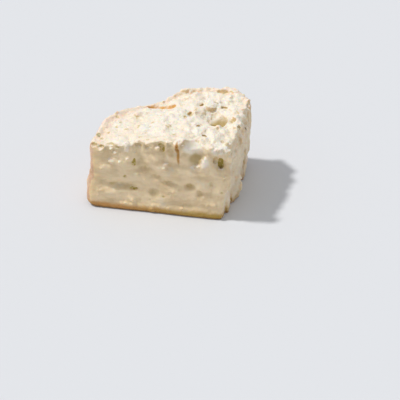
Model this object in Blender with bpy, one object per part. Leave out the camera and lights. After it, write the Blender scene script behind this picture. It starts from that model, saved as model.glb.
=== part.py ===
"""A block of soft blue cheese: half the height of one sector of a small wheel.

Metres, +Z up. The wheel's flat rind is underneath. The knife-cut face looks
towards -Y, the wheel's curved rind (the heel) runs round the -X and +Y sides,
and the +X side and the top are torn open. It is first laid out from the foot
of the front left corner, and then moved so that the origin is under the middle
of its box, at the base.
"""

import math

import bmesh
import bpy
from mathutils import Vector, noise

# The wheel that the block comes from.
WHEEL_RADIUS = 0.120
WHEEL_AXIS_X = 0.1230
WHEEL_AXIS_Y = 0.007
HEEL_DENT_DEPTH = 0.008
HEEL_DENT_ANGLE = math.radians(124)
HEEL_DENT_WIDTH = math.radians(18)
HEEL_SWELL_DEPTH = 0.0040
HEEL_SWELL_ANGLE = math.radians(158)
HEEL_SWELL_WIDTH = math.radians(6)

# The outline in plan: the knife cut, the torn side and the rounded back corner.
CUT_LENGTH = 0.150
TORN_END = Vector((0.1585, 0.0920))
CORNER_PULL = Vector((0.1650, 0.1175))
HEEL_START = math.radians(80)
HEEL_END = math.pi + math.asin(WHEEL_AXIS_Y / WHEEL_RADIUS)
CUT_STEPS = 34
TORN_STEPS = 22
CORNER_STEPS = 8
HEEL_STEPS = 54
OUTLINE_EASING_PASSES = 2

# Heights of the torn top, along the cut and along the heel.
CUT_LEFT_HEIGHT = 0.0780
CUT_CREST_HEIGHT = 0.0910
CUT_CREST_X = 0.095
CUT_RIGHT_HEIGHT = 0.0870
HEEL_LEFT_HEIGHT = 0.0860
HEEL_RIGHT_HEIGHT = 0.0906
HEEL_STEP_START_X = 0.062
HEEL_STEP_END_X = 0.080
CORNER_DROP = 0.0030
CORNER_DROP_START = Vector((0.136, 0.080))
CORNER_DROP_END = Vector((0.158, 0.116))
LIP_HEIGHT = 0.0025
LIP_WIDTH = 0.004
LUMP_HEIGHT_LEFT = 0.0010
LUMP_HEIGHT_RIGHT = 0.0028
LUMP_SIZE = 0.017
LUMP_START_X = 0.060
LUMP_END_X = 0.110

# Upright profiles of the three kinds of side, which settle by MIDDLE_Y.
MIDDLE_Y = 0.045
FOOT_BULGE = 0.0044
FOOT_BULGE_BEHIND = 0.0020
FOOT_TOP = 0.034
FOOT_FADE = 0.010
HEEL_LEAN = 0.0040
CORNER_TUCK = 0.0030
CORNER_TUCK_START = 0.135
CORNER_TUCK_END = 0.155
HEEL_FOOT_RADIUS = 0.010
CUT_FOOT_RADIUS = 0.0012
TOP_EDGE_RADIUS = 0.003
TORN_UNDERCUT = 0.0025
TORN_UNDERCUT_HEIGHT = 0.030
TORN_BULGE = 0.0030
TORN_BULGE_Z = 0.068
TORN_BULGE_SPREAD = 0.040
TORN_WAVE_DEPTH = 0.0022
TORN_WAVE_LENGTH = 0.020
TORN_WAVE_RISE = 0.5

# Side rings from the base up, crowded at the rounded foot, and top rings in
# from the edge, crowded at the rind's lip.
SIDE_RINGS = 21
SIDE_CROWDING = 1.15
TOP_RINGS = 12
TOP_CROWDING = 1.4
BASE_RINGS = 4
TOP_CENTRE = Vector((0.088, 0.056))

# Hollows torn or scooped out, and a lump left at the foot of the torn side:
# (centre, radius, depth, direction).
HOLLOWS = (
    (Vector((0.050, 0.104, 0.088)), 0.022, 0.007, Vector((0, 0, -1))),
    (Vector((0.126, 0.067, 0.091)), 0.010, 0.012, Vector((0, 0, -1))),
    (Vector((0.118, 0.000, 0.075)), 0.009, 0.009, Vector((0, 1, 0))),
    (Vector((0.062, 0.000, 0.030)), 0.017, 0.003, Vector((0, 1, 0))),
    (Vector((0.111, 0.000, 0.037)), 0.006, 0.003, Vector((0, 1, 0))),
    (Vector((0.155, 0.046, 0.014)), 0.012, 0.005, Vector((1, 0, 0))),
)

CHEESE_COLOUR = (0.84, 0.72, 0.50, 1.0)
CHEESE_ROUGHNESS = 0.55


def ease(value, start, end):
    """0 before start, 1 after end, and a smooth rise between them."""
    share = min(max((value - start) / (end - start), 0.0), 1.0)
    return share * share * (3 - 2 * share)


def mix(first, second, share):
    return first + (second - first) * share


def hump(value, middle, width):
    return math.exp(-(((value - middle) / width) ** 2))


def heel_point(angle):
    radius = WHEEL_RADIUS
    radius -= HEEL_DENT_DEPTH * hump(angle, HEEL_DENT_ANGLE, HEEL_DENT_WIDTH)
    radius += HEEL_SWELL_DEPTH * hump(angle, HEEL_SWELL_ANGLE, HEEL_SWELL_WIDTH)
    x = WHEEL_AXIS_X + radius * math.cos(angle)
    y = WHEEL_AXIS_Y + radius * math.sin(angle)
    return Vector((x, y))


def curve_point(start, pull, end, share):
    return start.lerp(pull, share).lerp(pull.lerp(end, share), share)


def outline():
    """The plan outline, anticlockwise, as (point, kind of side) pairs."""
    left = heel_point(HEEL_END)
    right = Vector((CUT_LENGTH, 0.0))
    heel_start = heel_point(HEEL_START)
    points = []
    for step in range(CUT_STEPS):
        points.append((left.lerp(right, step / CUT_STEPS), "cut"))
    for step in range(TORN_STEPS):
        points.append((right.lerp(TORN_END, step / TORN_STEPS), "torn"))
    for step in range(CORNER_STEPS):
        share = step / CORNER_STEPS
        points.append((curve_point(TORN_END, CORNER_PULL, heel_start, share), "heel"))
    for step in range(HEEL_STEPS):
        angle = mix(HEEL_START, HEEL_END, step / HEEL_STEPS)
        points.append((heel_point(angle), "heel"))
    return points


def eased_ring(values):
    """Each value averaged with its two neighbours round the ring."""
    count = len(values)
    return [
        (values[i - 1] + values[i] * 2 + values[(i + 1) % count]) / 4
        for i in range(count)
    ]


def outward(points):
    """The outward direction in plan at each point of an anticlockwise ring."""
    count = len(points)
    directions = []
    for i in range(count):
        along = points[(i + 1) % count] - points[i - 1]
        directions.append(Vector((along.y, -along.x)).normalized())
    return directions


def rounding(distance, radius):
    """How far an edge of this radius draws in at a distance from its end."""
    if distance >= radius:
        return 0.0
    return radius - math.sqrt(radius**2 - (radius - distance) ** 2)


def top_height(x, y):
    """The torn top, without its lip and hollows."""
    along_cut = mix(CUT_LEFT_HEIGHT, CUT_CREST_HEIGHT, ease(x, 0.0, CUT_CREST_X))
    along_cut += (CUT_RIGHT_HEIGHT - CUT_CREST_HEIGHT) * ease(x, CUT_CREST_X, CUT_LENGTH)
    step = ease(x, HEEL_STEP_START_X, HEEL_STEP_END_X)
    along_heel = mix(HEEL_LEFT_HEIGHT, HEEL_RIGHT_HEIGHT, step)
    height = mix(along_cut, along_heel, ease(y, 0.0, WHEEL_RADIUS))
    drop = ease(x, CORNER_DROP_START.x, CORNER_DROP_END.x)
    height -= CORNER_DROP * drop * ease(y, CORNER_DROP_START.y, CORNER_DROP_END.y)
    lump = mix(LUMP_HEIGHT_LEFT, LUMP_HEIGHT_RIGHT, ease(x, LUMP_START_X, LUMP_END_X))
    return height + lump * noise.noise(Vector((x, y, 0.0)) / LUMP_SIZE)


def side_offset(kinds, point, z, top):
    """How far the side stands out from the plan outline at height z."""
    heel, torn, cut = kinds
    middle = ease(point.y, 0.0, MIDDLE_Y)
    foot = mix(FOOT_BULGE, FOOT_BULGE_BEHIND, middle)
    foot *= 1 - ease(z, FOOT_TOP - FOOT_FADE, FOOT_TOP + FOOT_FADE)
    low = 1 - ease(z, 0.0, TORN_UNDERCUT_HEIGHT)
    corner = ease(point.x, CORNER_TUCK_START, CORNER_TUCK_END) * middle
    heel_out = (foot + HEEL_LEAN * (1 - z / top)) * (1 - corner)
    heel_out -= CORNER_TUCK * low * corner + rounding(z, HEEL_FOOT_RADIUS)
    undercut = TORN_UNDERCUT * low
    bulge = TORN_BULGE * hump(z, TORN_BULGE_Z, TORN_BULGE_SPREAD) * middle
    wave = noise.noise(Vector((point.x, point.y, z * TORN_WAVE_RISE)) / TORN_WAVE_LENGTH)
    torn_out = bulge - undercut + TORN_WAVE_DEPTH * wave
    cut_out = -rounding(z, CUT_FOOT_RADIUS)
    edge = rounding(top - z, TOP_EDGE_RADIUS)
    return heel * heel_out + torn * torn_out + cut * cut_out - edge


def pressed(place):
    """A point after the hollows and the lump have been pressed into the cheese."""
    moved = place.copy()
    for centre, radius, depth, direction in HOLLOWS:
        moved += direction * depth * hump((place - centre).length, 0.0, radius)
    return moved


def add_ring(mesh, places):
    return [mesh.verts.new(place) for place in places]


def join_rings(mesh, lower, upper):
    count = len(lower)
    for i in range(count):
        after = (i + 1) % count
        mesh.faces.new((lower[i], lower[after], upper[after], upper[i]))


def close_ring(mesh, ring, place, upward):
    """Fills a ring with triangles that meet at one point."""
    middle = mesh.verts.new(place)
    count = len(ring)
    for i in range(count):
        pair = (ring[i], ring[(i + 1) % count])
        if not upward:
            pair = pair[::-1]
        mesh.faces.new((*pair, middle))


def cheese_mesh():
    points, kinds = zip(*outline())
    points = list(points)
    shares = {kind: [float(own == kind) for own in kinds] for kind in ("heel", "torn", "cut")}
    for _ in range(OUTLINE_EASING_PASSES):
        points = eased_ring(points)
        shares = {kind: eased_ring(values) for kind, values in shares.items()}
    sides = list(zip(shares["heel"], shares["torn"], shares["cut"]))
    directions = outward(points)
    tops = []
    for point, side in zip(points, sides):
        tops.append(top_height(point.x, point.y) + LIP_HEIGHT * side[0])

    mesh = bmesh.new()
    rings = []
    for level in range(SIDE_RINGS + 1):
        share = (level / SIDE_RINGS) ** SIDE_CROWDING
        places = []
        for point, side, direction, top in zip(points, sides, directions, tops):
            z = top * share
            plan = point + direction * side_offset(side, point, z, top)
            places.append(pressed(Vector((plan.x, plan.y, z))))
        rings.append(add_ring(mesh, places))
    for lower, upper in zip(rings, rings[1:]):
        join_rings(mesh, lower, upper)

    edge = [Vector(vert.co.xy) for vert in rings[-1]]
    previous = rings[-1]
    for level in range(1, TOP_RINGS):
        share = (level / TOP_RINGS) ** TOP_CROWDING
        places = []
        for point, side in zip(edge, sides):
            plan = point.lerp(TOP_CENTRE, share)
            lip = LIP_HEIGHT * side[0] * hump((plan - point).length, 0.0, LIP_WIDTH)
            places.append(pressed(Vector((plan.x, plan.y, top_height(plan.x, plan.y) + lip))))
        ring = add_ring(mesh, places)
        join_rings(mesh, previous, ring)
        previous = ring
    centre = Vector((TOP_CENTRE.x, TOP_CENTRE.y, top_height(TOP_CENTRE.x, TOP_CENTRE.y)))
    close_ring(mesh, previous, centre, upward=True)

    foot = [Vector(vert.co.xy) for vert in rings[0]]
    previous = rings[0]
    for level in range(1, BASE_RINGS):
        places = [point.lerp(TOP_CENTRE, level / BASE_RINGS).to_3d() for point in foot]
        ring = add_ring(mesh, places)
        join_rings(mesh, ring, previous)
        previous = ring
    close_ring(mesh, previous, TOP_CENTRE.to_3d(), upward=False)
    return mesh


def rest_on_origin(mesh):
    """Moves the block so that the origin is under the middle of its box."""
    places = [vert.co for vert in mesh.verts]
    middle_x = (min(p.x for p in places) + max(p.x for p in places)) / 2
    middle_y = (min(p.y for p in places) + max(p.y for p in places)) / 2
    bmesh.ops.translate(mesh, verts=mesh.verts, vec=(-middle_x, -middle_y, 0.0))


def cheese_material():
    material = bpy.data.materials.new("cheese")
    material.use_nodes = True
    shader = material.node_tree.nodes["Principled BSDF"]
    shader.inputs["Base Color"].default_value = CHEESE_COLOUR
    shader.inputs["Roughness"].default_value = CHEESE_ROUGHNESS
    shader.inputs["Metallic"].default_value = 0.0
    return material


for item in list(bpy.data.objects):
    bpy.data.objects.remove(item, do_unlink=True)

shape = cheese_mesh()
rest_on_origin(shape)
bmesh.ops.recalc_face_normals(shape, faces=shape.faces)
data = bpy.data.meshes.new("gorgonzola_wedge")
shape.to_mesh(data)
shape.free()
data.materials.append(cheese_material())
data.shade_smooth()
wedge = bpy.data.objects.new("gorgonzola_wedge", data)
bpy.context.scene.collection.objects.link(wedge)
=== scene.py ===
import math
import random

import bmesh
import bpy
import numpy as np
from mathutils import Euler, Matrix, Vector
from mathutils.bvhtree import BVHTree


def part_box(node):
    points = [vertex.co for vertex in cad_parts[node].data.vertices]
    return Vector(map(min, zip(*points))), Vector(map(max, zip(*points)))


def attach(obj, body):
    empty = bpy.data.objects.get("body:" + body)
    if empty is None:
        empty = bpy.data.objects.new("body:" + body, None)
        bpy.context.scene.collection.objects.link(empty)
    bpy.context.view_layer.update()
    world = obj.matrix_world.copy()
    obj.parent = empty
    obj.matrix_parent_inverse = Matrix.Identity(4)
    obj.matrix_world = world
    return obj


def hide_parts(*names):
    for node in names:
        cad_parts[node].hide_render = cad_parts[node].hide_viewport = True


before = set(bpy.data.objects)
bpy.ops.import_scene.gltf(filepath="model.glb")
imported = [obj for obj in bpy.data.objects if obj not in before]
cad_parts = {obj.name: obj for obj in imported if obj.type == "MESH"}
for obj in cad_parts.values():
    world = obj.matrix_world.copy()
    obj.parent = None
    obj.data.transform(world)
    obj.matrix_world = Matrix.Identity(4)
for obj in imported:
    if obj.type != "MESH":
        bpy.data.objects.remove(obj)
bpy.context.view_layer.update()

# ---------------------------------------------------------------------------
# The block of cheese: one piece of soft blue cheese from a small wheel. A wire has
# cut its front, and its top and right side are torn. It starts as the plain block,
# and its large hollows, folds and swells are pushed into the soft paste.
# ---------------------------------------------------------------------------
MILLIMETRE = 0.001
BLOCK_VOXEL = 1.2 * MILLIMETRE
MERGE_WITHIN = 0.01 * MILLIMETRE
low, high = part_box("gorgonzola_wedge")
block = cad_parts["gorgonzola_wedge"]
# The foot of the front left corner, under the rind's bulge.
BULGE_BESIDE = 4.28
BULGE_BEFORE = 0.32
corner = Vector((low.x + BULGE_BESIDE * MILLIMETRE, low.y + BULGE_BEFORE * MILLIMETRE, 0.0))


def mark(across, back, up):
    """A place on the block, in millimetres from the foot of its front left corner."""
    return corner + Vector((across, back, up)) * MILLIMETRE


def only(piece):
    """Leaves one object selected and active."""
    bpy.ops.object.select_all(action="DESELECT")
    piece.select_set(True)
    bpy.context.view_layer.objects.active = piece


def shaped(piece, kind, **settings):
    """Adds a modifier to a piece and applies it."""
    only(piece)
    modifier = piece.modifiers.new(kind.lower(), kind)
    for name, value in settings.items():
        setattr(modifier, name, value)
    bpy.ops.object.modifier_apply(modifier=modifier.name)


def places_of(piece):
    found = np.empty(len(piece.data.vertices) * 3)
    piece.data.vertices.foreach_get("co", found)
    return found.reshape(-1, 3)


def normals_of(piece):
    found = np.empty(len(piece.data.vertices) * 3)
    piece.data.vertex_normals.foreach_get("vector", found)
    return found.reshape(-1, 3)


def settle(piece, places):
    piece.data.vertices.foreach_set("co", places.ravel())
    piece.data.update()


def ease(values, start, end):
    """0 before start, 1 after end, and a smooth rise between them."""
    share = np.clip((values - start) / (end - start), 0.0, 1.0)
    return share * share * (3 - 2 * share)


def nearness(places, centre, reach):
    """1 at the centre, falling smoothly to 0 at the reach along each axis."""
    apart = (places - np.array(centre)) / (np.array(reach) * MILLIMETRE)
    return 1 - ease((apart**2).sum(axis=1) ** 0.5, 0.0, 1.0)


# The rind covers all but the cut, which reaches this far back, the torn side,
# which lies beyond this place across and in front of this place back, and the top.
CUT_REACH = 8
TORN_FROM = 140
TORN_BACK = 108


def heel_of(piece):
    """A search tree of the block's rind: its curved side and its base."""
    skin = bmesh.new()
    skin.from_mesh(piece.data)
    bmesh.ops.remove_doubles(skin, verts=skin.verts, dist=MERGE_WITHIN)
    skin.normal_update()
    inner_faces = []
    for face in skin.faces:
        middle = face.calc_center_median()
        on_cut = face.normal.y < -0.7 and middle.y < mark(0, CUT_REACH, 0).y
        beyond = middle.x > mark(TORN_FROM, 0, 0).x and middle.y < mark(0, TORN_BACK, 0).y
        on_torn = face.normal.x > 0.45 and beyond
        on_top = face.normal.z > 0.35
        if on_cut or on_torn or on_top:
            inner_faces.append(face)
    bmesh.ops.delete(skin, geom=inner_faces, context="FACES")
    tree = BVHTree.FromBMesh(skin)
    skin.free()
    return tree


cheese = bpy.data.objects.new("cheese", block.data.copy())
bpy.context.scene.collection.objects.link(cheese)
only(cheese)
bpy.ops.object.mode_set(mode="EDIT")
bpy.ops.mesh.select_all(action="SELECT")
bpy.ops.mesh.remove_doubles(threshold=MERGE_WITHIN)
bpy.ops.mesh.normals_make_consistent(inside=False)
bpy.ops.object.mode_set(mode="OBJECT")
cheese.data.materials.clear()
shaped(cheese, "REMESH", mode="VOXEL", voxel_size=BLOCK_VOXEL)
shaped(cheese, "SMOOTH", factor=0.5, iterations=12)

# Each hollow, fold or swell: place, reach along each axis, and push, all in millimetres.
PUSHES = (
    # The knife-cut face: the long shallow hollow low down, and the fold under it.
    ((36, 0, 30), (28, 12, 8), (0, 5.2, 0)),
    ((16, 0, 33), (12, 10, 6), (0, 2.6, 0)),
    ((22, 0, 19), (22, 10, 8), (0, -1.6, 0.4)),
    # The slanting valley across its middle with a ridge beyond it, and the tan dents.
    ((58, 0, 64), (12, 14, 10), (0, 3.6, -1.0)),
    ((64, 0, 54), (14, 14, 9), (0, 4.8, -1.5)),
    ((74, 0, 45), (14, 14, 7), (0, 4.6, -1.5)),
    ((82, 0, 54), (14, 10, 8), (0, -1.4, 0.5)),
    ((71, 0, 65), (12, 10, 8), (0, -0.8, 0.4)),
    ((88, 0, 39), (16, 14, 6), (0, 4.2, 0)),
    ((72, 0, 25), (9, 8, 8), (0, 2.6, 0)),
    ((111, 0, 37), (12, 8, 7.5), (0, 3.6, 0)),
    ((122, 0, 29), (5, 6, 8), (0, 3.2, 0)),
    ((101, 0, 61), (14, 12, 10), (0, 3.2, 0)),
    ((96, 0, 29), (14, 8, 4), (0, -2.2, 0.8)),
    ((134, 0, 40), (7, 10, 16), (0, 3.0, 0)),
    ((128, 0, 53), (8, 8, 5), (0, -2.2, 1.0)),
    ((20, 0, 58), (20, 10, 12), (0, 0.8, 0)),
    ((27, 0, 49), (18, 8, 7), (0, -0.5, 0.2)),
    ((38, 0, 68), (14, 8, 14), (0, 1.0, 0)),
    ((56, 0, 12), (22, 8, 5), (0, 1.6, 0)),
    ((110, 0, 13), (26, 8, 5), (0, 1.6, 0)),
    # The torn lip along its top edge: hollows under it, with drips between them.
    ((9, 2, 75), (11, 9, 11), (0, 1.6, 0)),
    ((26, 0, 74), (14, 9, 16), (0, 2.0, 0)),
    ((58, 0, 75), (13, 9, 19), (0, 3.2, 0)),
    ((70, 0, 76), (7, 8, 18), (0, 2.6, 0)),
    ((83, 0, 77), (8, 8, 18), (0, 3.2, 0)),
    ((92, 0, 77), (6, 8, 17), (0, 2.6, 0)),
    ((40, 0, 86), (7, 8, 9), (0, -1.0, -2.0)),
    # The scoop under its top edge, with the overhanging rim to its lower right.
    ((106, 2, 74), (9, 10, 15), (0, 2.4, 0)),
    ((116, 0, 64), (9, 9, 8), (0, 3.6, 0)),
    ((131, 2, 72), (9, 9, 9), (1.0, -2.8, 2.0)),
    ((124, 1, 62), (9, 8, 6), (1.0, -2.4, 2.0)),
    # The hollow by the torn corner, and the lumps over it.
    ((140, 0, 73), (10, 9, 11), (0, 4.2, 0)),
    ((145, 1, 66), (6, 8, 13), (0, 4.5, 0)),
    ((143, 4, 87), (11, 9, 8), (0.5, -1.6, 1.5)),
    # The torn top: the easy left side of its scooped bowl, and other hollows.
    ((123, 56, 92), (12, 18, 14), (0, 0, -3.0)),
    ((71, 80, 88), (17, 14, 16), (0, 0, -6.0)),
    ((122, 27, 91), (8, 7, 12), (0, 0, -3.0)),
    ((147, 64, 91), (7, 8, 12), (0, 0, -3.0)),
    ((109, 87, 92), (7, 9, 12), (0, 0, -4.0)),
    ((99, 68, 92), (7, 12, 12), (0, 0, -3.5)),
    ((88, 40, 92), (22, 20, 14), (0, 0, -1.6)),
    ((137, 97, 93), (16, 7, 12), (0, 0, -3.2)),
    ((40, 50, 87), (30, 26, 14), (0, 0, -1.8)),
    ((62, 24, 87), (16, 14, 14), (0, 0, -1.6)),
    ((20, 30, 83), (14, 10, 12), (0, 0, -1.2)),
    ((146, 84, 90), (14, 10, 12), (0, 0, 1.6)),
    # The torn side: notches high up, a ledge low down and the undercut beside it.
    ((159, 70, 82), (9, 9, 13), (-4.5, 0, -1.0)),
    ((160, 28, 72), (9, 7, 22), (-4.5, 0, 0)),
    ((161, 12, 78), (9, 5, 16), (-3.4, 0, 0)),
    ((162, 54, 50), (9, 8, 22), (-4.5, 0, 0)),
    ((160, 84, 60), (9, 8, 28), (-4.0, 0, 0)),
    ((160, 40, 62), (8, 6, 22), (1.8, 0, 0)),
    ((157, 44, 16), (10, 12, 10), (2.4, 0, 0)),
    ((156, 64, 8), (9, 12, 12), (-2.5, 0, 0)),
    ((153, 22, 6), (9, 12, 12), (-2.0, 0, 0)),
)
places = places_of(cheese)
for place, reach, push in PUSHES:
    share = nearness(places, mark(*place), reach)
    places += share[:, None] * np.array(push) * MILLIMETRE
# The rind was left standing along the heel when the top was torn away, with a
# gutter beside it that is deepest where the heel dips. All in millimetres.
LIP_RISE = 1.6
LIP_WIDTH = 8.0
GUTTER_DEPTH = 0.5
GUTTER_DEEPER = 1.7
CLEFT_DEPTH = 2.4
heel_skin = heel_of(block)


def away_from(skin, places):
    """The distance in millimetres from each place to a search tree's surface."""
    return np.array([skin.find_nearest(Vector(place))[3] for place in places]) / MILLIMETRE


# A narrow cleft follows the heel behind its dip, from left to right.
GROOVE = ((48, 84), (53, 86.5), (58, 88), (64, 88), (69, 87), (74, 85.5), (79, 84))


def beside_path(places, path):
    """How far each place lies in plan from a line of (across, back) points."""
    flat = places[:, :2] - np.array(corner)[:2]
    nearest = np.full(len(places), np.inf)
    for start, end in zip(path, path[1:]):
        start = np.array(start) * MILLIMETRE
        along = np.array(end) * MILLIMETRE - start
        share = np.clip(((flat - start) @ along) / (along @ along), 0.0, 1.0)
        apart = flat - start - share[:, None] * along
        nearest = np.minimum(nearest, np.hypot(*apart.T))
    return nearest / MILLIMETRE


from_heel = away_from(heel_skin, places)
upward = ease(normals_of(cheese)[:, 2], 0.3, 0.7)
behind_dip = ease(places[:, 0], mark(40, 0, 0).x, mark(70, 0, 0).x)
behind_dip *= 1 - ease(places[:, 0], mark(125, 0, 0).x, mark(150, 0, 0).x)
lip = (1 - ease(from_heel, LIP_WIDTH * 0.6, LIP_WIDTH)) * behind_dip
gutter = ease(from_heel, LIP_WIDTH * 0.7, LIP_WIDTH)
gutter *= 1 - ease(from_heel, LIP_WIDTH, LIP_WIDTH * 1.8)
cleft = 1 - ease(beside_path(places, GROOVE), 0.6, 3.0)
sunk = gutter * (GUTTER_DEPTH + GUTTER_DEEPER * behind_dip) + cleft * CLEFT_DEPTH
places[:, 2] += upward * (lip * LIP_RISE - sunk) * MILLIMETRE
# Above its foot the cut stands a little further back than the rind, so that
# folds and lumps can hang out from it.
CUT_SETBACK = 2.6
SETBACK_FULL_UP = 34
near_cut = 1 - ease(places[:, 1], mark(0, 5, 0).y, mark(0, 18, 0).y)
above_its_foot = ease(places[:, 2], 0.0, mark(0, 0, SETBACK_FULL_UP).z)
places[:, 1] += near_cut * above_its_foot * CUT_SETBACK * MILLIMETRE
settle(cheese, places)


def texture(name, kind, size):
    made = bpy.data.textures.new(name, kind)
    made.noise_scale = size
    return made


def stretched(name, stretch):
    """An empty whose scale stretches a texture along each axis."""
    guide = bpy.data.objects.new(name, None)
    bpy.context.scene.collection.objects.link(guide)
    guide.scale = stretch
    bpy.context.view_layer.update()
    return guide


WEIGHT_STEPS = 20


def weigh(piece, name, values):
    """A vertex group with these weights, in steps of a twentieth."""
    group = piece.vertex_groups.new(name=name)
    steps = np.rint(np.clip(values, 0.0, 1.0) * WEIGHT_STEPS).astype(int)
    for step in range(1, WEIGHT_STEPS + 1):
        chosen = np.flatnonzero(steps == step)
        if len(chosen):
            group.add(chosen.tolist(), step / WEIGHT_STEPS, "REPLACE")
    return name


def kinds_of_surface(places, normals):
    """How far each point belongs to the cut, the torn side, the top, the heel and the base."""
    across = (places - np.array(corner)) / MILLIMETRE
    base = ease(-normals[:, 2], 0.6, 0.9) * (1 - ease(across[:, 2], 2.0, 6.0))
    top = ease(normals[:, 2], 0.35, 0.7) * ease(across[:, 2], 50.0, 62.0)
    left = 1 - base - top
    cut = ease(-normals[:, 1], 0.3, 0.7) * (1 - ease(across[:, 1], 10.0, 18.0)) * left
    torn = ease(normals[:, 0], 0.2, 0.6) * ease(across[:, 0], 132.0, 142.0)
    torn *= (1 - ease(across[:, 1], 100.0, 112.0)) * (1 - cut) * left
    heel = np.clip(left - cut - torn, 0.0, 1.0)
    return {"cut": cut, "torn": torn, "top": top, "heel": heel, "base": base}


# Where a spoon or the wire left the paste smooth: place and reach, in millimetres.
SMOOTH_ZONES = (
    ((131, 61, 86), (15, 20, 20)),
    ((116, 6, 78), (17, 16, 24)),
    ((111, 0, 37), (10, 10, 8)),
    ((9, 0, 77), (8, 8, 6)),
)


def smooth_share(places):
    """How far each place lies in one of the smooth zones."""
    share = np.zeros(len(places))
    for place, reach in SMOOTH_ZONES:
        share = np.maximum(share, ease(nearness(places, mark(*place), reach), 0.0, 0.5))
    return share


# The wire drags the soft paste sideways across the cut; the torn side is drawn
# out in upright folds; the top is left in soft billows.
kinds = kinds_of_surface(places, normals_of(cheese))
rough = 1 - 0.85 * smooth_share(places)
rightwards = ease(places[:, 0], mark(55, 0, 0).x, mark(105, 0, 0).x)
rough_top = kinds["top"] * rough * (0.62 + 0.38 * rightwards)
under_edge = kinds["cut"] * rough * ease(places[:, 2], mark(0, 0, 66).z, mark(0, 0, 82).z)
off_the_foot = ease(places[:, 2], mark(0, 0, 3).z, mark(0, 0, 16).z)
smeared = kinds["cut"] * rough * (0.25 + 0.75 * off_the_foot)
# Name, texture, size, stretch along each axis, share of the surface, and depth.
RELIEF = (
    ("smears", "CLOUDS", 0.012, (2.2, 1.0, 1.0), smeared, 0.0032),
    ("fine_smears", "CLOUDS", 0.0046, (2.4, 1.0, 1.0), smeared, 0.0017),
    ("drips", "CLOUDS", 0.0046, (1.0, 1.0, 3.6), under_edge, 0.0056),
    ("folds", "CLOUDS", 0.0085, (1.0, 1.0, 8.0), kinds["torn"], 0.0130),
    ("fine_folds", "CLOUDS", 0.0038, (1.0, 1.0, 7.0), kinds["torn"], 0.0060),
    ("billows", "CLOUDS", 0.013, (1.0, 1.0, 1.0), rough_top, 0.0078),
    ("small_billows", "CLOUDS", 0.0062, (1.0, 1.0, 1.0), rough_top, 0.0036),
    ("rind_swells", "CLOUDS", 0.016, (1.0, 1.0, 0.8), kinds["heel"], 0.0022),
    ("rind_bumps", "CLOUDS", 0.0060, (1.0, 1.0, 1.0), kinds["heel"], 0.0014),
)
for name, kind, size, stretch, weights, depth in RELIEF:
    guide = stretched(name + "_guide", stretch)
    shaped(
        cheese,
        "DISPLACE",
        texture=texture(name, kind, size),
        texture_coords="OBJECT",
        texture_coords_object=guide,
        vertex_group=weigh(cheese, name, weights),
        strength=depth,
        mid_level=0.5,
    )
    bpy.data.objects.remove(guide)
cheese.vertex_groups.clear()

# ---------------------------------------------------------------------------
# The curds: where the cheese is torn, it comes apart along its curds and leaves
# soft rounded lumps, thickest towards the right, with small pits between them.
# A few lumps and pits are modelled and copied at many sizes.
# ---------------------------------------------------------------------------
SEED = 41
draw = random.Random(SEED)


def curd_shape(name, size, depth, tries):
    """A few uneven balls of unit radius, as meshes."""
    shapes = []
    for turn in range(tries):
        bpy.ops.object.select_all(action="DESELECT")
        bpy.ops.mesh.primitive_ico_sphere_add(subdivisions=3, radius=1.0, location=(turn * 5.0, 0, 0))
        ball = bpy.context.object
        ball.name = f"{name}_{turn}"
        shaped(
            ball,
            "DISPLACE",
            texture=texture(ball.name, "CLOUDS", size),
            texture_coords="GLOBAL",
            strength=depth,
            mid_level=0.5,
        )
        shapes.append(ball.data)
        bpy.data.objects.remove(ball)
    return shapes


def scattered(name, shapes, spots):
    """One object that joins a copy of a shape at each (place, normal, radii, turn) spot."""
    made = bmesh.new()
    for place, normal, radii, turn in spots:
        copy = draw.choice(shapes).copy()
        spin = Matrix.Rotation(turn, 4, "Z")
        stand = normal.to_track_quat("Z", "Y").to_matrix().to_4x4()
        stretch = Matrix.Diagonal((*radii, 1.0))
        copy.transform(Matrix.Translation(place) @ stand @ spin @ stretch)
        made.from_mesh(copy)
        bpy.data.meshes.remove(copy)
    mesh = bpy.data.meshes.new(name)
    made.to_mesh(mesh)
    made.free()
    joined = bpy.data.objects.new(name, mesh)
    bpy.context.scene.collection.objects.link(joined)
    return joined


def surface_of(piece):
    return BVHTree.FromObject(piece, bpy.context.evaluated_depsgraph_get())


surface = surface_of(cheese)
DOWN = Vector((0, 0, -1))
LEFTWARDS = Vector((-1, 0, 0))
BACKWARDS = Vector((0, 1, 0))
lump_spots = []
pit_spots = []
# Looks start from outside the block, at these places above it and to its right.
ABOVE = 130
BESIDE = 190
BEFORE = -30


def top_spot():
    """A random place on the top, with its normal and how far across it lies."""
    across = draw.uniform(2, 160)
    back = draw.uniform(1, 128)
    place, normal, _, _ = surface.ray_cast(mark(across, back, ABOVE), DOWN)
    return across, place, normal


def any_turn():
    return draw.uniform(0, math.tau)


def drawn_radii(radius, *shares):
    """Radii that are each a random share of one radius."""
    return tuple(radius * draw.uniform(*share) for share in shares)


LOWEST_TOP = mark(0, 0, 70).z


def left_alone(place):
    """Whether a place is off the top, or in a zone that stays smooth."""
    return place is None or place.z < LOWEST_TOP or smooth_share(np.array([place]))[0] > 0.35


# Lumps all over the top, fewer on its left, where the paste is tighter.
TOP_LUMPS = 620
for _ in range(TOP_LUMPS):
    across, place, normal = top_spot()
    if left_alone(place):
        continue
    crumbly = 0.25 + 0.75 * float(ease(np.array(across), 60.0, 112.0))
    if draw.random() > crumbly:
        continue
    radius = (1.3 + 4.0 * draw.random() ** 1.8) * MILLIMETRE
    sink = draw.uniform(0.35, 0.75)
    radii = drawn_radii(radius, (0.9, 1.7), (0.8, 1.2), (0.6, 0.95))
    lump_spots.append((place - normal * radius * sink, normal, radii, any_turn()))
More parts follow.
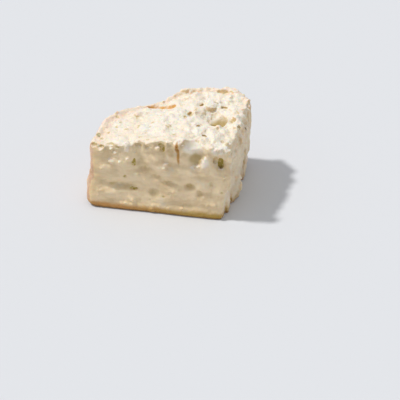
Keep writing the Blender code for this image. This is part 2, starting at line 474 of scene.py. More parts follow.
# Small lumps hang over the top edge of the cut, but not over its scoop.
EDGE_LUMPS = 110
EDGE_SINK = Vector((0, 0.8, 1.2)) * MILLIMETRE
for _ in range(EDGE_LUMPS):
    across = draw.uniform(9, 150)
    place, normal, _, _ = surface.ray_cast(mark(across, draw.uniform(0.5, 5.0), ABOVE), DOWN)
    if place is None or 104 < across < 128:
        continue
    radius = (0.8 + 1.7 * draw.random() ** 1.6) * MILLIMETRE
    radii = drawn_radii(radius, (0.7, 1.3), (0.8, 1.3), (0.8, 1.5))
    lump_spots.append((place - EDGE_SINK, normal, radii, any_turn()))
# Small pits between the lumps.
TOP_PITS = 44
for _ in range(TOP_PITS):
    across, place, normal = top_spot()
    if left_alone(place):
        continue
    radius = (0.8 + 1.4 * draw.random() ** 2.5) * MILLIMETRE
    place = place + normal * radius * 0.45
    pit_spots.append((place, normal, (*drawn_radii(radius, (1, 1.9)), radius, radius), any_turn()))
# Upright strands on the torn side.
TORN_STRANDS = 60
for _ in range(TORN_STRANDS):
    back = draw.uniform(0, TORN_BACK)
    up = draw.uniform(24, 90)
    place, normal, _, _ = surface.ray_cast(mark(BESIDE, back, up), LEFTWARDS)
    if place is None:
        continue
    radius = (0.9 + 2.4 * draw.random() ** 2) * MILLIMETRE
    radii = (*drawn_radii(radius, (0.7, 1.1), (2.0, 4.0)), radius * 0.8)
    lump_spots.append((place - normal * radius * 0.4, normal, radii, draw.uniform(-0.3, 0.3)))
# Curds spill over the torn side's upper edge.
SPILLED_CURDS = 70
for _ in range(SPILLED_CURDS):
    back = draw.uniform(2, 100)
    up = draw.uniform(66, 90)
    place, normal, _, _ = surface.ray_cast(mark(BESIDE, back, up), LEFTWARDS)
    if place is None:
        continue
    radius = (1.4 + 2.4 * draw.random() ** 1.5) * MILLIMETRE
    radii = (*drawn_radii(radius, (0.8, 1.4), (0.9, 1.6)), radius * 0.8)
    lump_spots.append((place - normal * radius * 0.3, normal, radii, any_turn()))
# Low swells and a few small pits on the cut.
CUT_MARKS = 30
PIT_SHARE = 0.4
for _ in range(CUT_MARKS):
    across = draw.uniform(4, 148)
    up = draw.uniform(22, 62)
    place, normal, _, _ = surface.ray_cast(mark(across, BEFORE, up), BACKWARDS)
    if place is None:
        continue
    radius = (0.5 + 0.7 * draw.random() ** 2) * MILLIMETRE
    if draw.random() < PIT_SHARE:
        pit_spots.append((place, normal, (radius * 1.4, radius, radius * 0.8), 0.0))
    else:
        place = place - normal * radius * 0.5
        radii = (radius * 3.4, radius, radius * 0.7)
        lump_spots.append((place, normal, radii, draw.uniform(-0.5, 0.5)))

# Folds and lumps that show by themselves: place, the way one looks to find it on
# the surface, and radii.
LUMPS = (
    ((44, 0, 78), BACKWARDS, (3.6, 6.5, 5.0)),
    ((43, 0, 84), BACKWARDS, (5.0, 4.0, 4.0)),
    ((73, 0, 82), BACKWARDS, (1.4, 5.0, 2.6)),
    ((87, 0, 84), BACKWARDS, (1.6, 4.5, 2.4)),
    ((12, 0, 81), BACKWARDS, (3.6, 1.8, 1.6)),
    ((132, 0, 79), BACKWARDS, (3.4, 3.4, 4.2)),
    ((129, 0, 74), BACKWARDS, (3.0, 3.6, 4.2)),
    ((125, 0, 68), BACKWARDS, (3.4, 3.0, 4.2)),
    ((120, 0, 62), BACKWARDS, (3.8, 2.4, 3.6)),
    ((141, 0, 86), BACKWARDS, (4.2, 3.0, 3.0)),
    ((148, 0, 84), BACKWARDS, (3.0, 4.0, 3.0)),
    ((143, 0, 34), BACKWARDS, (2.6, 1.4, 1.2)),
    ((20, 0, 19), BACKWARDS, (7.0, 1.8, 1.2)),
    ((33, 0, 17), BACKWARDS, (5.0, 1.4, 1.0)),
    ((91, 0, 50), BACKWARDS, (8.0, 1.4, 1.2)),
    ((157, 42, ABOVE), DOWN, (4.2, 4.2, 3.2)),
    ((150, 10, ABOVE), DOWN, (5.0, 5.0, 3.0)),
    ((141, 40, ABOVE), DOWN, (6.0, 9.0, 3.2)),
    ((118, 84, ABOVE), DOWN, (6.5, 5.5, 4.0)),
    ((146, 84, ABOVE), DOWN, (8.0, 7.0, 3.2)),
    ((106, 60, ABOVE), DOWN, (6.0, 9.0, 3.0)),
    ((114, 34, ABOVE), DOWN, (5.0, 6.0, 2.4)),
    ((BESIDE, 20, 72), LEFTWARDS, (2.0, 12.0, 3.0)),
    ((BESIDE, 36, 62), LEFTWARDS, (2.4, 16.0, 3.6)),
    ((BESIDE, 47, 40), LEFTWARDS, (2.6, 14.0, 3.0)),
    ((BESIDE, 66, 70), LEFTWARDS, (3.0, 12.0, 3.6)),
    ((BESIDE, 76, 40), LEFTWARDS, (2.6, 16.0, 3.0)),
    ((BESIDE, 8, 50), LEFTWARDS, (2.0, 16.0, 2.4)),
)
# The pits that show most, in the same way; the last value says how much mould
# has coloured the pit.
POCKETS = (
    ((51, 0, 59.5), BACKWARDS, (2.4, 2.6, 1.8), 0.85),
    ((51.5, 0, 62.5), BACKWARDS, (1.0, 3.0, 1.4), 0.85),
    ((50, 0, 27), BACKWARDS, (5.0, 1.6, 1.8), 0.6),
    ((41, 0, 42.5), BACKWARDS, (1.9, 1.5, 2.2), 0.5),
    ((27, 0, 30), BACKWARDS, (4.0, 1.2, 1.8), 0.3),
    ((83, 0, 22), BACKWARDS, (1.8, 1.2, 1.8), 0.4),
    ((68, 0, 16), BACKWARDS, (1.3, 1.0, 1.5), 0.3),
    ((146, 0, 34), BACKWARDS, (1.3, 1.3, 1.8), 0.5),
    ((111, 0, 36), BACKWARDS, (6.0, 2.8, 0.7), 0.2),
    ((82, 0, 81), BACKWARDS, (2.8, 4.6, 3.0), 0.8),
    ((80, 0, 85), BACKWARDS, (2.4, 2.0, 3.0), 0.5),
    ((98, 0, 83), BACKWARDS, (1.8, 6.5, 3.0), 0.0),
    ((108, 0, 88), BACKWARDS, (2.2, 1.0, 1.8), 1.0),
    ((143.5, 0, 67.5), BACKWARDS, (3.2, 8.0, 2.0), 0.9),
    ((138, 0, 73), BACKWARDS, (3.4, 6.0, 1.6), 0.25),
    ((6, 0, 77), BACKWARDS, (5.0, 3.0, 3.0), 0.45),
    ((17, 0, 76.5), BACKWARDS, (3.0, 1.4, 2.0), 0.45),
    ((25, 0, 79), BACKWARDS, (4.0, 1.6, 2.4), 0.45),
    ((33, 0, 77.5), BACKWARDS, (3.4, 1.3, 2.4), 0.45),
    ((56, 0, 81), BACKWARDS, (4.0, 2.4, 2.2), 0.22),
    ((65, 0, 81), BACKWARDS, (2.8, 3.4, 2.4), 0.22),
    ((90, 0, 80), BACKWARDS, (2.4, 3.0, 2.0), 0.25),
    ((118, 11, ABOVE), DOWN, (3.6, 3.4, 2.4), 0.3),
    ((156, 50, ABOVE), DOWN, (3.0, 3.0, 3.0), 0.35),
    ((99, 69, ABOVE), DOWN, (2.4, 5.0, 1.6), 0.42),
    ((119, 82, ABOVE), DOWN, (3.6, 2.4, 1.4), 0.4),
    ((109, 88, ABOVE), DOWN, (2.4, 5.0, 1.5), 0.35),
    ((96, 58, ABOVE), DOWN, (2.0, 2.6, 1.2), 0.32),
    ((113, 43, ABOVE), DOWN, (2.6, 2.2, 1.2), 0.35),
    ((122, 27, ABOVE), DOWN, (4.0, 2.4, 1.2), 0.3),
    ((134, 88, ABOVE), DOWN, (6.0, 2.4, 1.1), 0.3),
    ((158, 71, ABOVE), DOWN, (3.0, 4.0, 3.0), 0.4),
    ((BESIDE, 52, 40), LEFTWARDS, (2.0, 6.0, 2.0), 0.4),
    ((BESIDE, 15, 77), LEFTWARDS, (1.8, 3.0, 2.0), 0.4),
)
# Smooth scoops taken out of the top and from under its front edge: centre and radii.
SCOOPS = (
    ((131.5, 61, 90), (10.5, 15.0, 11.0)),
    ((115, -10, 99), (15.0, 23.0, 25.0)),
    ((117, -1, 70), (10.0, 8.0, 8.0)),
)
# Specks of mould that lie open on the top: place across and back, reach, and strength.
SPECKS = (
    ((9, 21), (2.0, 3.0), 0.6),
    ((14, 15), (1.8, 1.8), 0.5),
    ((18, 27), (1.8, 1.8), 0.5),
    ((25, 38), (1.6, 1.8), 0.5),
    ((27, 48), (1.6, 2.4), 0.45),
    ((21, 57), (1.8, 1.8), 0.4),
    ((33, 20), (1.4, 1.6), 0.4),
    ((37, 32), (2.0, 1.6), 0.4),
    ((43, 58), (1.6, 1.6), 0.35),
    ((49, 38), (1.6, 3.6), 0.42),
    ((56, 14), (2.8, 1.6), 0.45),
    ((63, 46), (1.8, 2.0), 0.4),
    ((70, 60), (2.0, 1.6), 0.4),
    ((66, 8), (1.8, 1.6), 0.4),
    ((82, 37), (3.6, 3.0), 0.45),
    ((92, 18), (3.4, 1.4), 0.35),
    ((104, 74), (2.2, 3.4), 0.45),
    ((124, 92), (3.2, 2.0), 0.45),
    ((147, 64), (4.0, 4.6), 0.4),
    ((150, 78), (2.2, 3.0), 0.35),
    ((142, 22), (1.6, 1.8), 0.35),
    ((88, 84), (3.0, 3.0), 0.3),
    ((75, 76), (2.6, 2.4), 0.3),
    ((54, 66), (3.6, 2.4), 0.25),
)


def seen_at(place, view):
    """Where a look along a direction first meets the block."""
    start = mark(*place)
    if view is BACKWARDS:
        start.y += BEFORE * MILLIMETRE
    return surface.ray_cast(start, view)[0]


def reach_of(view, size):
    """A pit's reach along X, Y and Z, from its width, height and depth as seen."""
    wide, high_reach, deep = size
    if view is BACKWARDS:
        return wide, deep, high_reach
    if view is LEFTWARDS:
        return deep, wide, high_reach
    return wide, high_reach, deep


for place, view, size in LUMPS:
    hit = seen_at(place, view)
    radii = Vector(size) * MILLIMETRE
    lump_spots.append((hit + view * radii.z * 0.35, -view, tuple(radii), 0.0))
pockets = []
for place, view, size, mould in POCKETS:
    hit = seen_at(place, view)
    pockets.append((hit, reach_of(view, size), mould))
    radii = Vector(size) * MILLIMETRE
    pit_spots.append((hit - view * radii.z * 0.2, -view, tuple(radii), 0.0))
    # Smaller bites at its edge keep a pit from looking drilled.
    for _ in range(2):
        sideways = draw.uniform(-1, 1) * radii.x
        aside = Vector(reach_of(view, (sideways, draw.uniform(-1, 1) * radii.y, 0)))
        share = draw.uniform(0.4, 0.65)
        pit_spots.append((hit + aside * 0.7, -view, tuple(radii * share), 0.0))
for (across, back), reach, strength in SPECKS:
    hit = seen_at((across, back, ABOVE), DOWN)
    pockets.append((hit, (*reach, 3.0), strength))
    radii = Vector((*reach, 1.2)) * MILLIMETRE * 0.7
    pit_spots.append((hit - DOWN * radii.z * 0.5, -DOWN, tuple(radii), 0.0))

lumps = scattered("lumps", curd_shape("curd", 0.7, 0.8, 6), lump_spots)
pits = scattered("pits", curd_shape("pit", 0.55, 1.0, 6), pit_spots)
for number, (place, radii) in enumerate(SCOOPS):
    bpy.ops.object.select_all(action="DESELECT")
    bpy.ops.mesh.primitive_ico_sphere_add(subdivisions=5, radius=MILLIMETRE, location=mark(*place))
    scoop = bpy.context.object
    scoop.name = f"scoop_{number}"
    scoop.scale = radii
    bpy.ops.object.transform_apply(location=True, rotation=True, scale=True)
    pits.select_set(True)
    bpy.context.view_layer.objects.active = pits
    bpy.ops.object.join()
only(cheese)
lumps.select_set(True)
bpy.ops.object.join()
CURD_VOXEL = 0.8 * MILLIMETRE
PIT_VOXEL = 0.4 * MILLIMETRE
FINISHED_VOXEL = 0.7 * MILLIMETRE
shaped(cheese, "REMESH", mode="VOXEL", voxel_size=CURD_VOXEL)
shaped(cheese, "SMOOTH", factor=0.5, iterations=3)
only(pits)
shaped(pits, "REMESH", mode="VOXEL", voxel_size=PIT_VOXEL)
shaped(cheese, "BOOLEAN", operation="DIFFERENCE", object=pits, solver="MANIFOLD")
bpy.data.objects.remove(pits)
shaped(cheese, "REMESH", mode="VOXEL", voxel_size=FINISHED_VOXEL)
shaped(cheese, "SMOOTH", factor=0.5, iterations=2)


def kept_in_box(piece):
    """Lets nothing sink below the table or stand outside the block's own box."""
    found = np.clip(places_of(piece), (low.x, low.y, 0.0), tuple(high))
    settle(piece, found)
    return found


places = kept_in_box(cheese)

# ---------------------------------------------------------------------------
# The skin of each side: fine relief on the finished shape. It is wet and granular
# where the paste is torn, dragged smooth on the cut, and dry on the rind.
# ---------------------------------------------------------------------------
kinds = kinds_of_surface(places, normals_of(cheese))
# The wire's drag rounds off every small bump and edge on the cut below its torn lip.
dragged = 1 - 0.75 * ease(places[:, 2], mark(0, 0, 66).z, mark(0, 0, 76).z)
dragged *= 1 - ease(places[:, 1], mark(0, 6, 0).y, mark(0, 11, 0).y)
dragged *= ease(places[:, 0], mark(3, 0, 0).x, mark(9, 0, 0).x) * (1 - kinds["base"])
dragged *= 1 - ease(places[:, 0], mark(144, 0, 0).x, mark(150, 0, 0).x)
shaped(cheese, "SMOOTH", factor=0.5, iterations=14, vertex_group=weigh(cheese, "dragged", dragged))
cheese.vertex_groups.clear()
rough = 1 - 0.7 * smooth_share(places)
# Name, texture, size, share of the surface, and depth.
FINE_RELIEF = (
    ("grain", "CLOUDS", 0.0032, (kinds["top"] + kinds["torn"]) * rough, 0.0012),
    ("crumb", "CLOUDS", 0.0015, kinds["top"] + kinds["torn"], 0.0007),
    ("cut_grain", "CLOUDS", 0.0026, kinds["cut"] * rough, 0.0009),
    ("rind_grain", "CLOUDS", 0.0030, kinds["heel"], 0.0007),
)
for name, kind, size, weights, depth in FINE_RELIEF:
    shaped(
        cheese,
        "DISPLACE",
        texture=texture(name, kind, size),
        texture_coords="LOCAL",
        vertex_group=weigh(cheese, name, weights),
        strength=depth,
        mid_level=0.6,
    )
cheese.vertex_groups.clear()
TRIANGLES_WANTED = 190000
cheese.data.calc_loop_triangles()
triangles = len(cheese.data.loop_triangles)
shaped(cheese, "DECIMATE", ratio=TRIANGLES_WANTED / triangles, use_collapse_triangulate=True)
places = kept_in_box(cheese)
only(cheese)
bpy.ops.object.shade_smooth()

# ---------------------------------------------------------------------------
# The finish: cream-white paste, yellower by the rind and on the cut, with olive
# mould in the pits and a needle's rusty track, inside a thin tan rind. What
# changes over the block is kept as values on the points of its mesh.
# ---------------------------------------------------------------------------


def remember(piece, name, values):
    """Keeps one number for each point of a piece, for its material to read."""
    kept = piece.data.attributes.new(name, "FLOAT", "POINT")
    kept.data.foreach_set("value", values.astype(np.float32))


normals = normals_of(cheese)
kinds = kinds_of_surface(places, normals)
from_heel = away_from(heel_skin, places)
remember(cheese, "rind_depth", from_heel * MILLIMETRE)
# Where torn paste from the top hangs down over the cut: place and reach.
OVERHANGS = (
    ((44, 0, 79), (5, 8, 9)),
    ((115, 6, 83), (17, 16, 13)),
    ((126, 1, 70), (9, 7, 11)),
    ((142, 2, 86), (12, 9, 8)),
)
torn = kinds["top"] + 0.4 * kinds["torn"]
for place, reach in OVERHANGS:
    torn = torn + 0.9 * ease(nearness(places, mark(*place), reach), 0.0, 0.5)
remember(cheese, "torn", np.clip(torn, 0.0, 1.0))
# The rim of the torn top is stained by the rind, widest where the heel dips.
along_back = ease(places[:, 0], mark(25, 0, 0).x, mark(55, 0, 0).x)
stain_width = 8.0 + 2.0 * along_back
blush_width = 18.0 - 8.0 * along_back
remember(cheese, "rim", kinds["top"] * (1 - ease(from_heel / stain_width, 0.55, 1.15)))
remember(cheese, "blush", kinds["top"] * (1 - ease(from_heel / blush_width, 0.3, 1.1)))
remember(cheese, "groove", 1 - ease(beside_path(places, GROOVE), 1.0, 3.6))

mould = np.zeros(len(places))
for centre, reach, strength in pockets:
    near = ease(nearness(places, centre, np.array(reach) * 1.4 + 1.0), 0.0, 0.6)
    mould = np.maximum(mould, strength * near)
remember(cheese, "mould", mould)
# Where the inner paste lies open and has yellowed, with painted shade in the cut's valleys: place,
# reach and strength.
YELLOWED_AND_SHADED = (
    ((133, 60, 80), (17, 21, 14), 1.0),
    ((117, 7, 70), (11, 10, 9), 0.7),
    ((111, 3, 36), (10, 8, 6.5), 0.42),
    ((72, 3, 25), (10, 8, 8), 0.45),
    ((122, 3, 29), (5, 8, 8), 0.25),
    ((9, 3, 77), (8, 8, 5), 0.5),
    # Painted shade in the cut's slanting valley and its long low hollow.
    ((60, 5, 60), (10, 9, 12), 0.22),
    ((70, 5, 50), (10, 9, 8), 0.22),
    ((36, 5, 29), (24, 9, 6), 0.2),
    ((143, 3, 68), (8, 8, 12), 0.4),
)
yellowing_and_shade = np.zeros(len(places))
for place, reach, strength in YELLOWED_AND_SHADED:
    near = ease(nearness(places, mark(*place), reach), 0.0, 0.6)
    yellowing_and_shade = np.maximum(yellowing_and_shade, strength * near)
remember(cheese, "yellowing_and_shade", yellowing_and_shade)
# Painted shade in a band just under the top edge of the cut, where its torn lip overhangs.
above_foot = (places - np.array(corner)) / MILLIMETRE
edge_height = 79 + 11 * ease(above_foot[:, 0], 0.0, 95.0)
under_lip_shade = kinds["cut"] * (1 - ease(edge_height - above_foot[:, 2], 3.0, 13.0))
remember(cheese, "under_lip_shade", under_lip_shade * (1 - smooth_share(places)))
streak = nearness(places, mark(98, 2, 84), (3.4, 8, 13))
streak = np.maximum(streak, 0.75 * nearness(places, mark(99, 4, 73), (2.8, 8, 20)))
remember(cheese, "streak", streak)

# How far each point lies below its surroundings: the places are evened out along
# the mesh's edges, and the move along the normal is kept. The finish paints shade
# into the hollows by it.
edges = np.empty(len(cheese.data.edges) * 2, dtype=int)
cheese.data.edges.foreach_get("vertices", edges)
first, second = edges.reshape(-1, 2).T
neighbours = np.bincount(first, minlength=len(places)) + np.bincount(second, minlength=len(places))
EVENING_ROUNDS = 14
HOLLOW_DEPTH = 0.9 * MILLIMETRE
even = places.copy()
for _ in range(EVENING_ROUNDS):
    total = np.zeros_like(even)
    for axis in range(3):
        total[:, axis] = np.bincount(first, even[second, axis], len(places))
        total[:, axis] += np.bincount(second, even[first, axis], len(places))
    even = 0.3 * even + 0.7 * total / neighbours[:, None]
hollow = ((even - places) * normals).sum(axis=1)
hollow = hollow * (1 - 0.5 * kinds["torn"])
remember(cheese, "hollow", np.clip(hollow / HOLLOW_DEPTH, -1.0, 1.0))


def group_of(name, inputs, outputs):
    group = bpy.data.node_groups.new(name, "ShaderNodeTree")
    for socket, kind in inputs:
        group.interface.new_socket(socket, in_out="INPUT", socket_type=kind)
    for socket, kind in outputs:
        group.interface.new_socket(socket, in_out="OUTPUT", socket_type=kind)
    start = group.nodes.new("NodeGroupInput")
    end = group.nodes.new("NodeGroupOutput")
    return group, start, end


def wire(tree, output, target):
    """Feeds a socket, or sets it where it is given a plain value."""
    if isinstance(output, bpy.types.NodeSocket):
        tree.links.new(output, target)
    else:
        target.default_value = output


def noise(tree, vector, scale, detail=4.0, roughness=0.55, distortion=0.0):
    node = tree.nodes.new("ShaderNodeTexNoise")
    tree.links.new(vector, node.inputs["Vector"])
    node.inputs["Scale"].default_value = scale
    node.inputs["Detail"].default_value = detail
    node.inputs["Roughness"].default_value = roughness
    node.inputs["Distortion"].default_value = distortion
    return node.outputs["Fac"]


def spread(tree, value, start, end, low_value=0.0, high_value=1.0):
    """Stretches a value from one range to another, held at both ends."""
    node = tree.nodes.new("ShaderNodeMapRange")
    node.interpolation_type = "SMOOTHSTEP"
    wire(tree, value, node.inputs["Value"])
    node.inputs["From Min"].default_value = start
    node.inputs["From Max"].default_value = end
    node.inputs["To Min"].default_value = low_value
    node.inputs["To Max"].default_value = high_value
    return node.outputs["Result"]


def blended(tree, share, first_colour, second_colour):
    node = tree.nodes.new("ShaderNodeMix")
    node.data_type = "RGBA"
    # The node keeps its number, vector and colour sockets in one list.
    factor = node.inputs[0]
    first_socket, second_socket = (socket for socket in node.inputs if socket.type == "RGBA")
    wire(tree, share, factor)
    wire(tree, first_colour, first_socket)
    wire(tree, second_colour, second_socket)
    return next(socket for socket in node.outputs if socket.type == "RGBA")


def sums(tree, operation, first_value, second_value):
    node = tree.nodes.new("ShaderNodeMath")
    node.operation = operation
    wire(tree, first_value, node.inputs[0])
    wire(tree, second_value, node.inputs[1])
    return node.outputs[0]


def between(tree, share, first_value, second_value):
    """first_value where share is 0, second_value where it is 1."""
    rise = sums(tree, "SUBTRACT", second_value, first_value)
    return sums(tree, "ADD", first_value, sums(tree, "MULTIPLY", rise, share))


def kept_value(tree, name):
    node = tree.nodes.new("ShaderNodeAttribute")
    node.attribute_name = name
    return node.outputs["Fac"]


CREAM = (0.93, 0.86, 0.75, 1)
CREAM_WARM = (0.92, 0.80, 0.65, 1)
CUT_PASTE = (0.89, 0.715, 0.475, 1)
CUT_PASTE_DEEP = (0.74, 0.57, 0.35, 1)
PASTE_BY_RIND = (0.84, 0.62, 0.34, 1)
CREVICE_SHADE = (0.60, 0.45, 0.21, 1)
GREY_VEIN = (0.70, 0.69, 0.60, 1)
OLIVE = (0.44, 0.32, 0.05, 1)
OLIVE_PALE = (0.70, 0.55, 0.27, 1)
GREY_GREEN = (0.47, 0.44, 0.29, 1)
SPECK_GREY = (0.60, 0.58, 0.44, 1)
RUST = (0.50, 0.235, 0.03, 1)
KHAKI = (0.47, 0.345, 0.135, 1)
EDGE_SHADE = (0.66, 0.53, 0.33, 1)
RIM_PEACH = (0.96, 0.83, 0.70, 1)
BLUSH = (0.94, 0.75, 0.60, 1)
RIM_TAN = (0.91, 0.73, 0.57, 1)
GROOVE_ORANGE = (0.70, 0.35, 0.065, 1)
RIND = (0.62, 0.37, 0.22, 1)
RIND_PALE = (0.76, 0.53, 0.37, 1)
RIND_SPOT_AND_SHADE = (0.40, 0.21, 0.08, 1)
BASE_RIND = (0.56, 0.28, 0.075, 1)
BASE_RIND_OLIVE = (0.46, 0.29, 0.05, 1)
BASE_RIND_DARK = (0.25, 0.125, 0.03, 1)

paste, paste_in, paste_out = group_of(
    "paste",
    [("Place", "NodeSocketVector"), ("Torn", "NodeSocketFloat"), ("Hollow", "NodeSocketFloat")],
    [("Colour", "NodeSocketColor"), ("Grain", "NodeSocketFloat")],
)
place = paste_in.outputs["Place"]
soft_patches = noise(paste, place, 45.0, 3.0)
small_patches = noise(paste, place, 160.0, 4.0)
torn_colour = blended(paste, spread(paste, soft_patches, 0.40, 0.68), CREAM, CREAM_WARM)
# The wire drew the cut's darker paste out sideways.
sideways = paste.nodes.new("ShaderNodeMapping")
sideways.inputs["Scale"].default_value = (0.45, 1.0, 1.3)
paste.links.new(place, sideways.inputs["Vector"])
drawn_patches = noise(paste, sideways.outputs["Vector"], 85.0, 4.0)
drawn_patches = sums(paste, "MULTIPLY", drawn_patches, 0.6)
darker = sums(paste, "ADD", drawn_patches, sums(paste, "MULTIPLY", soft_patches, 0.4))
cut_colour = blended(paste, spread(paste, darker, 0.42, 0.62), CUT_PASTE, CUT_PASTE_DEEP)
colour = blended(paste, paste_in.outputs["Torn"], cut_colour, torn_colour)
vein = spread(paste, noise(paste, place, 60.0, 5.0, 0.6, 0.6), 0.58, 0.72, 0.0, 0.45)
colour = blended(paste, vein, colour, GREY_VEIN)
# Painted shade darkens the paste in its hollows and creases.
crevice_shade = spread(paste, paste_in.outputs["Hollow"], 0.15, 0.95, 0.0, 0.6)
crevice_shade = sums(paste, "MULTIPLY", crevice_shade, spread(paste, small_patches, 0.3, 0.6, 0.4, 1.0))
colour = blended(paste, crevice_shade, colour, CREVICE_SHADE)
paste.links.new(colour, paste_out.inputs["Colour"])
grain = sums(paste, "ADD", noise(paste, place, 900.0, 3.0), noise(paste, place, 380.0, 3.0))
paste.links.new(grain, paste_out.inputs["Grain"])

rind, rind_in, rind_out = group_of(
    "rind",
    [("Place", "NodeSocketVector"), ("Hollow", "NodeSocketFloat")],
    [("Colour", "NodeSocketColor"), ("Grain", "NodeSocketFloat")],
)
place = rind_in.outputs["Place"]
mottle = spread(rind, noise(rind, place, 55.0, 5.0, 0.6), 0.35, 0.65)
colour = blended(rind, mottle, RIND, RIND_PALE)
spots = spread(rind, noise(rind, place, 130.0, 4.0, 0.6), 0.60, 0.74, 0.0, 0.6)
colour = blended(rind, spots, colour, RIND_SPOT_AND_SHADE)
# Painted shade darkens the rind in its hollows.
colour = blended(rind, spread(rind, rind_in.outputs["Hollow"], 0.1, 0.8, 0.0, 0.7), colour, RIND_SPOT_AND_SHADE)
rind.links.new(colour, rind_out.inputs["Colour"])
rind.links.new(noise(rind, place, 700.0, 4.0), rind_out.inputs["Grain"])

finish = bpy.data.materials.new("cheese")
finish.use_nodes = True
tree = finish.node_tree
shader = tree.nodes["Principled BSDF"]
place = tree.nodes.new("ShaderNodeTexCoord").outputs["Object"]
hollow_value = kept_value(tree, "hollow")
paste_node = tree.nodes.new("ShaderNodeGroup")
paste_node.node_tree = paste
rind_node = tree.nodes.new("ShaderNodeGroup")
rind_node.node_tree = rind
for node in (paste_node, rind_node):
    tree.links.new(place, node.inputs["Place"])
    tree.links.new(hollow_value, node.inputs["Hollow"])
tree.links.new(kept_value(tree, "torn"), paste_node.inputs["Torn"])

wobble = spread(tree, noise(tree, place, 90.0, 3.0), 0.3, 0.7, -0.0010, 0.0010)
under_rind = sums(tree, "ADD", kept_value(tree, "rind_depth"), wobble)
by_rind = spread(tree, under_rind, 0.003, 0.014, 0.75, 0.0)
by_rind = sums(tree, "MULTIPLY", by_rind, spread(tree, kept_value(tree, "torn"), 0.0, 1.0, 1.0, 0.15))
colour = blended(tree, by_rind, paste_node.outputs["Colour"], PASTE_BY_RIND)
colour = blended(tree, spread(tree, kept_value(tree, "blush"), 0.0, 0.8, 0.0, 0.9), colour, BLUSH)
rim_edge = spread(tree, noise(tree, place, 120.0, 4.0), 0.3, 0.6, 0.55, 1.15)
rim_ragged = sums(tree, "MULTIPLY", kept_value(tree, "rim"), rim_edge)
rim_mottle = spread(tree, noise(tree, place, 200.0, 4.0), 0.38, 0.66)
rim_colour = blended(tree, rim_mottle, RIM_PEACH, RIM_TAN)
colour = blended(tree, spread(tree, rim_ragged, 0.2, 0.75, 0.0, 0.85), colour, rim_colour)
groove_ragged = sums(tree, "MULTIPLY", kept_value(tree, "groove"), rim_edge)
colour = blended(tree, spread(tree, groove_ragged, 0.25, 0.95, 0.0, 0.9), colour, GROOVE_ORANGE)
# Khaki: yellowed paste, and painted shade where the cut's valleys lie.
colour = blended(tree, kept_value(tree, "yellowing_and_shade"), colour, KHAKI)
upright = tree.nodes.new("ShaderNodeMapping")
upright.inputs["Scale"].default_value = (1.0, 1.0, 0.35)
tree.links.new(place, upright.inputs["Vector"])
# Painted shade under the cut's top edge, broken up by upright drips.
shade_broken_by_drips = spread(tree, noise(tree, upright.outputs["Vector"], 210.0, 3.0), 0.42, 0.62, 0.15, 0.85)
painted_lip_shade = sums(tree, "MULTIPLY", kept_value(tree, "under_lip_shade"), shade_broken_by_drips)
colour = blended(tree, painted_lip_shade, colour, EDGE_SHADE)
mould_value = kept_value(tree, "mould")
mould_patches = spread(tree, noise(tree, place, 380.0, 3.0), 0.3, 0.62, 0.35, 1.25)
mould_edge = sums(tree, "MULTIPLY", mould_value, mould_patches)
colour = blended(tree, spread(tree, mould_edge, 0.10, 0.45, 0.0, 0.8), colour, OLIVE_PALE)
greyer = spread(tree, kept_value(tree, "torn"), 0.2, 1.0, 0.0, 0.75)
mould_colour = blended(tree, greyer, OLIVE, GREY_GREEN)
colour = blended(tree, spread(tree, mould_edge, 0.38, 0.75, 0.0, 0.92), colour, mould_colour)
speckle = spread(tree, noise(tree, place, 430.0, 2.0), 0.63, 0.70, 0.0, 0.6)
speckle = sums(tree, "MULTIPLY", speckle, spread(tree, kept_value(tree, "torn"), 0.5, 1.0))
colour = blended(tree, speckle, colour, SPECK_GREY)
colour = blended(tree, spread(tree, kept_value(tree, "streak"), 0.1, 0.6, 0.0, 0.9), colour, RUST)
rind_share = spread(tree, under_rind, 0.0024, 0.0044, 1.0, 0.0)
thinned = spread(tree, kept_value(tree, "torn"), 0.0, 0.8, 1.0, 0.25)
rind_share = sums(tree, "MULTIPLY", rind_share, thinned)
colour = blended(tree, rind_share, colour, rind_node.outputs["Colour"])
# The flat rind underneath shows as a band round the foot, darkest at the table.
heights = tree.nodes.new("ShaderNodeSeparateXYZ")
tree.links.new(place, heights.inputs[0])
foot_height = sums(tree, "ADD", heights.outputs["Z"], wobble)
foot_colour = blended(tree, spread(tree, heights.outputs["X"], -0.05, 0.04), BASE_RIND, BASE_RIND_OLIVE)
by_table = spread(tree, foot_height, 0.0012, 0.0044, 0.9, 0.0)
foot_colour = blended(tree, by_table, foot_colour, BASE_RIND_DARK)
foot_share = spread(tree, foot_height, 0.0048, 0.0105, 0.95, 0.0)
faded = spread(tree, kept_value(tree, "torn"), 0.0, 0.5, 1.0, 0.3)
foot_share = sums(tree, "MULTIPLY", foot_share, faded)
colour = blended(tree, foot_share, colour, foot_colour)
tree.links.new(colour, shader.inputs["Base Color"])

moist = spread(tree, noise(tree, place, 140.0, 3.0), 0.3, 0.7, 0.38, 0.62)
roughness = between(tree, rind_share, moist, 0.78)
tree.links.new(roughness, shader.inputs["Roughness"])
grain = between(tree, rind_share, paste_node.outputs["Grain"], rind_node.outputs["Grain"])
bump = tree.nodes.new("ShaderNodeBump")
bump.inputs["Strength"].default_value = 0.5
bump.inputs["Distance"].default_value = 0.0004
tree.links.new(grain, bump.inputs["Height"])
tree.links.new(bump.outputs["Normal"], shader.inputs["Normal"])
shader.inputs["Subsurface Weight"].default_value = 0.4
shader.inputs["Subsurface Radius"].default_value = (1.0, 0.65, 0.35)
shader.inputs["Subsurface Scale"].default_value = 0.002
shader.inputs["IOR"].default_value = 1.42
cheese.data.materials.clear()
cheese.data.materials.append(finish)

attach(cheese, "root")
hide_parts("gorgonzola_wedge")

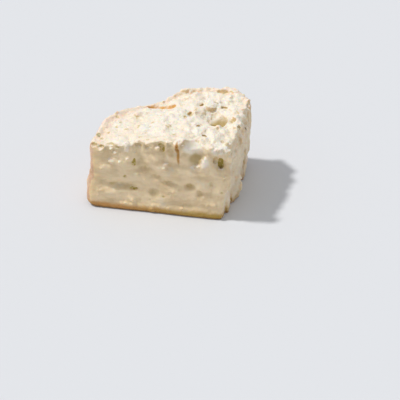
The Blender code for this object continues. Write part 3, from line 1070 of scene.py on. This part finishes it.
# ---------------------------------------------------------------------------
# The table, the light and the camera: a plain pale table, one soft lamp high on
# the left, and even pale light from all round.
# ---------------------------------------------------------------------------
bpy.ops.object.select_all(action="DESELECT")
TABLE_WIDTH = 8.0
bpy.ops.mesh.primitive_plane_add(size=TABLE_WIDTH, location=(0, 0, 0))
table = bpy.context.object
table.name = "table"
table_finish = bpy.data.materials.new("table")
table_finish.use_nodes = True
table_shader = table_finish.node_tree.nodes["Principled BSDF"]
table_shader.inputs["Base Color"].default_value = (0.75, 0.765, 0.80, 1)
table_shader.inputs["Roughness"].default_value = 0.9
table_shader.inputs["Specular IOR Level"].default_value = 0.2
table.data.materials.append(table_finish)

LIGHT_TRAVEL = Vector((0.61, 0.06, -1.0))
LAMP_STRENGTH = 2.0
LAMP_SOFTNESS = math.radians(5)
ALL_ROUND_STRENGTH = 0.51
bpy.ops.object.light_add(type="SUN", location=(-0.6, -0.1, 1.0))
lamp = bpy.context.object
lamp.rotation_euler = LIGHT_TRAVEL.to_track_quat("-Z", "Y").to_euler()
lamp.data.energy = LAMP_STRENGTH
lamp.data.angle = LAMP_SOFTNESS
lamp.data.color = (1.0, 0.985, 0.96)
world = bpy.data.worlds.new("soft light")
world.use_nodes = True
world.node_tree.nodes["Background"].inputs["Color"].default_value = (0.96, 0.98, 1.0, 1)
world.node_tree.nodes["Background"].inputs["Strength"].default_value = ALL_ROUND_STRENGTH
bpy.context.scene.world = world
bpy.context.scene.view_settings.view_transform = "Standard"

CAMERA_DISTANCE = 1.318
CAMERA_AZIMUTH = math.radians(10.06)
CAMERA_ELEVATION = math.radians(34.0)
CAMERA_ROLL = math.radians(0.5)
LENS_LENGTH = 108
SENSOR_WIDTH = 36
AIM = mark(116.9, 35.6, 0)
offset = Vector(
    (
        math.sin(CAMERA_AZIMUTH) * math.cos(CAMERA_ELEVATION),
        -math.cos(CAMERA_AZIMUTH) * math.cos(CAMERA_ELEVATION),
        math.sin(CAMERA_ELEVATION),
    )
)
bpy.ops.object.camera_add(location=AIM + offset * CAMERA_DISTANCE)
camera = bpy.context.object
facing = (-offset).to_track_quat("-Z", "Y") @ Euler((0, 0, CAMERA_ROLL)).to_quaternion()
camera.rotation_euler = facing.to_euler()
camera.data.lens = LENS_LENGTH
camera.data.sensor_width = SENSOR_WIDTH
bpy.context.scene.camera = camera
